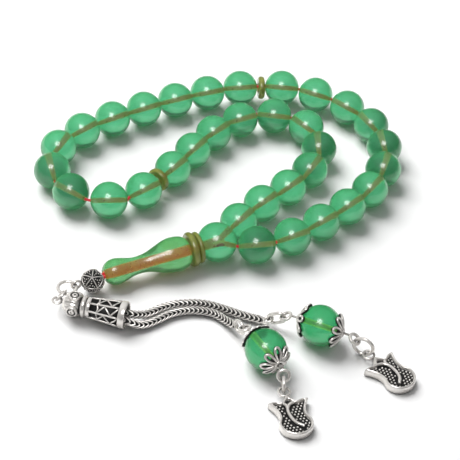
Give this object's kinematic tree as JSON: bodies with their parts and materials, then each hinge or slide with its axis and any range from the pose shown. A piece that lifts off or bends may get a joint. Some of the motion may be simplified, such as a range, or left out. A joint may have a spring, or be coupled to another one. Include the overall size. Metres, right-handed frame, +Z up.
{
  "type": "prayer beads",
  "caption": "Misbaha prayer beads: a string of round beads with separators, joining bead, long imame bead and a silver tassel of bell cap, foxtail chains, bead charms and tulips, laid out flat.",
  "frame": {"origin": "middle of the footprint of the laid-out beads and metal fittings, on the surface they lie on", "axes": "+Z up from the surface; +Y towards the far side of the bead loop, with the tassel on the -Y side"},
  "size_m": [0.0822, 0.1096, 0.0084],
  "materials": {
    "green_resin": "polished translucent green resin",
    "charm_resin": "polished translucent green resin",
    "olive_resin": "polished olive resin",
    "red_string": "twisted string",
    "silver": "polished silver, darkened in its recesses"
  },
  "bodies": {
    "strung_core": {"string": "red_string", "joining_bead": "green_resin"},
    "bead_01": {"bead_01": "green_resin"},
    "bead_02": {"bead_02": "green_resin"},
    "bead_03": {"bead_03": "green_resin"},
    "bead_04": {"bead_04": "green_resin"},
    "bead_05": {"bead_05": "green_resin"},
    "bead_06": {"bead_06": "green_resin"},
    "bead_07": {"bead_07": "green_resin"},
    "bead_08": {"bead_08": "green_resin"},
    "bead_09": {"bead_09": "green_resin"},
    "bead_10": {"bead_10": "green_resin"},
    "bead_11": {"bead_11": "green_resin"},
    "bead_12": {"bead_12": "green_resin"},
    "bead_13": {"bead_13": "green_resin"},
    "bead_14": {"bead_14": "green_resin"},
    "bead_15": {"bead_15": "green_resin"},
    "bead_16": {"bead_16": "green_resin"},
    "bead_17": {"bead_17": "green_resin"},
    "bead_18": {"bead_18": "green_resin"},
    "bead_19": {"bead_19": "green_resin"},
    "bead_20": {"bead_20": "green_resin"},
    "bead_21": {"bead_21": "green_resin"},
    "bead_22": {"bead_22": "green_resin"},
    "bead_23": {"bead_23": "green_resin"},
    "bead_24": {"bead_24": "green_resin"},
    "bead_25": {"bead_25": "green_resin"},
    "bead_26": {"bead_26": "green_resin"},
    "bead_27": {"bead_27": "green_resin"},
    "bead_28": {"bead_28": "green_resin"},
    "bead_29": {"bead_29": "green_resin"},
    "bead_30": {"bead_30": "green_resin"},
    "bead_31": {"bead_31": "green_resin"},
    "bead_32": {"bead_32": "green_resin"},
    "bead_33": {"bead_33": "green_resin"},
    "separator_1": {"separator_1": "olive_resin"},
    "separator_2": {"separator_2": "olive_resin"},
    "collar_ring_1": {"collar_ring_1": "olive_resin"},
    "collar_ring_2": {"collar_ring_2": "olive_resin"},
    "imame": {"imame": "green_resin"},
    "metal_ball": {"metal_ball": "silver"},
    "tassel_ring_1": {"tassel_ring_1": "silver"},
    "tassel_ring_2": {"tassel_ring_2": "silver"},
    "cap_pin": {"cap_pin": "silver"},
    "tassel_cap": {"tassel_cap": "silver"},
    "chain_a": {"chain_a": "silver"},
    "chain_b": {"chain_b": "silver"},
    "charm_link_a": {"charm_link_a": "silver"},
    "charm_pin_a": {"charm_pin_a": "silver"},
    "charm_bead_a": {"charm_bead_a": "charm_resin"},
    "petal_cap_a1": {"petal_cap_a1": "silver"},
    "petal_cap_a2": {"petal_cap_a2": "silver"},
    "charm_ring_a": {"charm_ring_a": "silver"},
    "tulip_a": {"tulip_a": "silver"},
    "charm_pin_b": {"charm_pin_b": "silver"},
    "charm_bead_b": {"charm_bead_b": "charm_resin"},
    "petal_cap_b1": {"petal_cap_b1": "silver"},
    "petal_cap_b2": {"petal_cap_b2": "silver"},
    "charm_ring_b": {"charm_ring_b": "silver"},
    "tulip_b": {"tulip_b": "silver"}
  },
  "joints": [
    {"name": "spin_bead_01", "type": "hinge", "parent": "strung_core", "child": "bead_01", "pos_m": [0.00831, -0.00551, 0.004], "axis": [0.9673, 0.2536, 0], "continuous": true},
    {"name": "spin_bead_02", "type": "hinge", "parent": "strung_core", "child": "bead_02", "pos_m": [0.01561, -0.00187, 0.004], "axis": [0.8255, 0.5645, 0], "continuous": true},
    {"name": "spin_bead_03", "type": "hinge", "parent": "strung_core", "child": "bead_03", "pos_m": [0.02164, 0.0036, 0.004], "axis": [0.7135, 0.7007, 0], "continuous": true},
    {"name": "spin_bead_04", "type": "hinge", "parent": "strung_core", "child": "bead_04", "pos_m": [0.02723, 0.00954, 0.004], "axis": [0.6432, 0.7657, 0], "continuous": true},
    {"name": "spin_bead_05", "type": "hinge", "parent": "strung_core", "child": "bead_05", "pos_m": [0.03211, 0.01606, 0.004], "axis": [0.4882, 0.8727, 0], "continuous": true},
    {"name": "spin_bead_06", "type": "hinge", "parent": "strung_core", "child": "bead_06", "pos_m": [0.03511, 0.02364, 0.004], "axis": [0.2072, 0.9783, 0], "continuous": true},
    {"name": "spin_bead_07", "type": "hinge", "parent": "strung_core", "child": "bead_07", "pos_m": [0.03544, 0.03178, 0.004], "axis": [-0.1607, 0.987, 0], "continuous": true},
    {"name": "spin_bead_08", "type": "hinge", "parent": "strung_core", "child": "bead_08", "pos_m": [0.03255, 0.0394, 0.004], "axis": [-0.5265, 0.8502, 0], "continuous": true},
    {"name": "spin_bead_09", "type": "hinge", "parent": "strung_core", "child": "bead_09", "pos_m": [0.02701, 0.04539, 0.004], "axis": [-0.793, 0.6093, 0], "continuous": true},
    {"name": "spin_bead_10", "type": "hinge", "parent": "strung_core", "child": "bead_10", "pos_m": [0.01956, 0.04938, 0.004], "axis": [-0.9413, 0.3376, 0], "continuous": true},
    {"name": "spin_bead_11", "type": "hinge", "parent": "strung_core", "child": "bead_11", "pos_m": [0.01156, 0.05093, 0.004], "axis": [-1, -0.0026, 0], "continuous": true},
    {"name": "spin_bead_12", "type": "hinge", "parent": "strung_core", "child": "bead_12", "pos_m": [0.00179, 0.04933, 0.004], "axis": [-0.9637, -0.267, 0], "continuous": true},
    {"name": "spin_bead_13", "type": "hinge", "parent": "strung_core", "child": "bead_13", "pos_m": [-0.00571, 0.04614, 0.004], "axis": [-0.8994, -0.4371, 0], "continuous": true},
    {"name": "spin_bead_14", "type": "hinge", "parent": "strung_core", "child": "bead_14", "pos_m": [-0.01285, 0.04221, 0.004], "axis": [-0.8577, -0.5142, 0], "continuous": true},
    {"name": "spin_bead_15", "type": "hinge", "parent": "strung_core", "child": "bead_15", "pos_m": [-0.01968, 0.03777, 0.004], "axis": [-0.8262, -0.5633, 0], "continuous": true},
    {"name": "spin_bead_16", "type": "hinge", "parent": "strung_core", "child": "bead_16", "pos_m": [-0.02631, 0.03303, 0.004], "axis": [-0.787, -0.617, 0], "continuous": true},
    {"name": "spin_bead_17", "type": "hinge", "parent": "strung_core", "child": "bead_17", "pos_m": [-0.03249, 0.02772, 0.004], "axis": [-0.6534, -0.757, 0], "continuous": true},
    {"name": "spin_bead_18", "type": "hinge", "parent": "strung_core", "child": "bead_18", "pos_m": [-0.03685, 0.02083, 0.004], "axis": [-0.2916, -0.9565, 0], "continuous": true},
    {"name": "spin_bead_19", "type": "hinge", "parent": "strung_core", "child": "bead_19", "pos_m": [-0.03708, 0.01268, 0.004], "axis": [0.3073, -0.9516, 0], "continuous": true},
    {"name": "spin_bead_20", "type": "hinge", "parent": "strung_core", "child": "bead_20", "pos_m": [-0.03212, 0.00621, 0.004], "axis": [0.8522, -0.5232, 0], "continuous": true},
    {"name": "spin_bead_21", "type": "hinge", "parent": "strung_core", "child": "bead_21", "pos_m": [-0.02375, 0.0045, 0.004], "axis": [0.9865, 0.164, 0], "continuous": true},
    {"name": "spin_bead_22", "type": "hinge", "parent": "strung_core", "child": "bead_22", "pos_m": [-0.0168, 0.00876, 0.004], "axis": [0.7097, 0.7046, 0], "continuous": true},
    {"name": "spin_bead_23", "type": "hinge", "parent": "strung_core", "child": "bead_23", "pos_m": [-0.01122, 0.01694, 0.004], "axis": [0.5229, 0.8524, 0], "continuous": true},
    {"name": "spin_bead_24", "type": "hinge", "parent": "strung_core", "child": "bead_24", "pos_m": [-0.00737, 0.02412, 0.004], "axis": [0.4918, 0.8707, 0], "continuous": true},
    {"name": "spin_bead_25", "type": "hinge", "parent": "strung_core", "child": "bead_25", "pos_m": [-0.0032, 0.03113, 0.004], "axis": [0.6068, 0.7948, 0], "continuous": true},
    {"name": "spin_bead_26", "type": "hinge", "parent": "strung_core", "child": "bead_26", "pos_m": [0.00245, 0.03699, 0.004], "axis": [0.8435, 0.5372, 0], "continuous": true},
    {"name": "spin_bead_27", "type": "hinge", "parent": "strung_core", "child": "bead_27", "pos_m": [0.01016, 0.03964, 0.004], "axis": [0.9993, -0.0375, 0], "continuous": true},
    {"name": "spin_bead_28", "type": "hinge", "parent": "strung_core", "child": "bead_28", "pos_m": [0.01765, 0.03642, 0.004], "axis": [0.6971, -0.7169, 0], "continuous": true},
    {"name": "spin_bead_29", "type": "hinge", "parent": "strung_core", "child": "bead_29", "pos_m": [0.02066, 0.02885, 0.004], "axis": [0.0743, -0.9972, 0], "continuous": true},
    {"name": "spin_bead_30", "type": "hinge", "parent": "strung_core", "child": "bead_30", "pos_m": [0.0188, 0.02091, 0.004], "axis": [-0.4015, -0.9158, 0], "continuous": true},
    {"name": "spin_bead_31", "type": "hinge", "parent": "strung_core", "child": "bead_31", "pos_m": [0.01422, 0.01417, 0.004], "axis": [-0.6155, -0.7881, 0], "continuous": true},
    {"name": "spin_bead_32", "type": "hinge", "parent": "strung_core", "child": "bead_32", "pos_m": [0.00879, 0.00809, 0.004], "axis": [-0.6199, -0.7847, 0], "continuous": true},
    {"name": "spin_bead_33", "type": "hinge", "parent": "strung_core", "child": "bead_33", "pos_m": [0.00414, 0.0014, 0.004], "axis": [-0.5312, -0.8472, 0], "continuous": true},
    {"name": "spin_separator_1", "type": "hinge", "parent": "strung_core", "child": "separator_1", "pos_m": [0.00668, 0.05013, 0.004], "axis": [-0.9869, -0.1614, 0], "continuous": true},
    {"name": "spin_separator_2", "type": "hinge", "parent": "strung_core", "child": "separator_2", "pos_m": [-0.01401, 0.01285, 0.004], "axis": [0.5634, 0.8262, 0], "continuous": true},
    {"name": "spin_collar_ring_1", "type": "hinge", "parent": "strung_core", "child": "collar_ring_1", "pos_m": [-0.00382, -0.00799, 0.00398], "axis": [-0.8818, -0.4689, -0.0499], "continuous": true},
    {"name": "spin_collar_ring_2", "type": "hinge", "parent": "strung_core", "child": "collar_ring_2", "pos_m": [-0.0051, -0.00867, 0.00391], "axis": [-0.8818, -0.4689, -0.0499], "continuous": true},
    {"name": "spin_imame", "type": "hinge", "parent": "strung_core", "child": "imame", "pos_m": [-0.00585, -0.00907, 0.00387], "axis": [-0.8818, -0.4689, -0.0499], "continuous": true},
    {"name": "ball_swing", "type": "hinge", "parent": "strung_core", "child": "metal_ball", "pos_m": [-0.02238, -0.01794, 0.0028], "axis": [0, 0, 1], "range_deg": [-35, 4]},
    {"name": "ring_1_swing", "type": "hinge", "parent": "metal_ball", "child": "tassel_ring_1", "pos_m": [-0.02817, -0.0216, 0.0028], "axis": [0, 0, 1], "range_deg": [-30, 3]},
    {"name": "ring_2_swing", "type": "hinge", "parent": "tassel_ring_1", "child": "tassel_ring_2", "pos_m": [-0.02942, -0.02337, 0.0028], "axis": [0, 0, 1], "range_deg": [-30, 1]},
    {"name": "cap_pin_swing", "type": "hinge", "parent": "tassel_ring_2", "child": "cap_pin", "pos_m": [-0.03039, -0.02589, 0.0028], "axis": [0, 0, 1], "range_deg": [-30, 1]},
    {"name": "cap_spin", "type": "hinge", "parent": "cap_pin", "child": "tassel_cap", "pos_m": [-0.0292, -0.02638, 0.0028], "axis": [0.9848, -0.1736, 0], "continuous": true},
    {"name": "chain_a_swing", "type": "hinge", "parent": "cap_pin", "child": "chain_a", "pos_m": [-0.02193, -0.02732, 0.0028], "axis": [0, 0, 1], "range_deg": [0, 3]},
    {"name": "chain_b_swing", "type": "hinge", "parent": "cap_pin", "child": "chain_b", "pos_m": [-0.02205, -0.02798, 0.0028], "axis": [0, 0, 1], "range_deg": [-3, 0]},
    {"name": "charm_link_a_swing", "type": "hinge", "parent": "chain_a", "child": "charm_link_a", "pos_m": [0.01182, -0.02485, 0.00155], "axis": [0, 0, 1], "range_deg": [-10, 10]},
    {"name": "charm_pin_a_swing", "type": "hinge", "parent": "charm_link_a", "child": "charm_pin_a", "pos_m": [0.01483, -0.02555, 0.00341], "axis": [0, 0, 1], "range_deg": [-10, 12]},
    {"name": "charm_bead_a_spin", "type": "hinge", "parent": "charm_pin_a", "child": "charm_bead_a", "pos_m": [0.02198, -0.02787, 0.00415], "axis": [0.9455, -0.3256, 0], "continuous": true},
    {"name": "charm_petal_cap_a1_spin", "type": "hinge", "parent": "charm_pin_a", "child": "petal_cap_a1", "pos_m": [0.02198, -0.02787, 0.00415], "axis": [0.9455, -0.3256, 0], "continuous": true},
    {"name": "charm_petal_cap_a2_spin", "type": "hinge", "parent": "charm_pin_a", "child": "petal_cap_a2", "pos_m": [0.02198, -0.02787, 0.00415], "axis": [-0.9455, 0.3256, 0], "continuous": true},
    {"name": "charm_ring_a_swing", "type": "hinge", "parent": "charm_pin_a", "child": "charm_ring_a", "pos_m": [0.02907, -0.03034, 0.00343], "axis": [0, 0, 1], "range_deg": [-10, 12]},
    {"name": "charm_tulip_a_swing", "type": "hinge", "parent": "charm_ring_a", "child": "tulip_a", "pos_m": [0.03159, -0.03159, 0], "axis": [0, 0, 1], "range_deg": [-10, 12]},
    {"name": "charm_pin_b_swing", "type": "hinge", "parent": "chain_b", "child": "charm_pin_b", "pos_m": [0.00692, -0.02986, 0.00345], "axis": [0, 0, 1], "range_deg": [-25, 10]},
    {"name": "charm_bead_b_spin", "type": "hinge", "parent": "charm_pin_b", "child": "charm_bead_b", "pos_m": [0.01148, -0.03587, 0.00415], "axis": [0.5878, -0.809, 0], "continuous": true},
    {"name": "charm_petal_cap_b1_spin", "type": "hinge", "parent": "charm_pin_b", "child": "petal_cap_b1", "pos_m": [0.01148, -0.03587, 0.00415], "axis": [0.5878, -0.809, 0], "continuous": true},
    {"name": "charm_petal_cap_b2_spin", "type": "hinge", "parent": "charm_pin_b", "child": "petal_cap_b2", "pos_m": [0.01148, -0.03587, 0.00415], "axis": [-0.5878, 0.809, 0], "continuous": true},
    {"name": "charm_ring_b_swing", "type": "hinge", "parent": "charm_pin_b", "child": "charm_ring_b", "pos_m": [0.01525, -0.04175, 0.00298], "axis": [0, 0, 1], "range_deg": [-25, 10]},
    {"name": "charm_tulip_b_swing", "type": "hinge", "parent": "charm_ring_b", "child": "tulip_b", "pos_m": [0.01548, -0.0435, 0], "axis": [0, 0, 1], "range_deg": [-25, 10]}
  ]
}
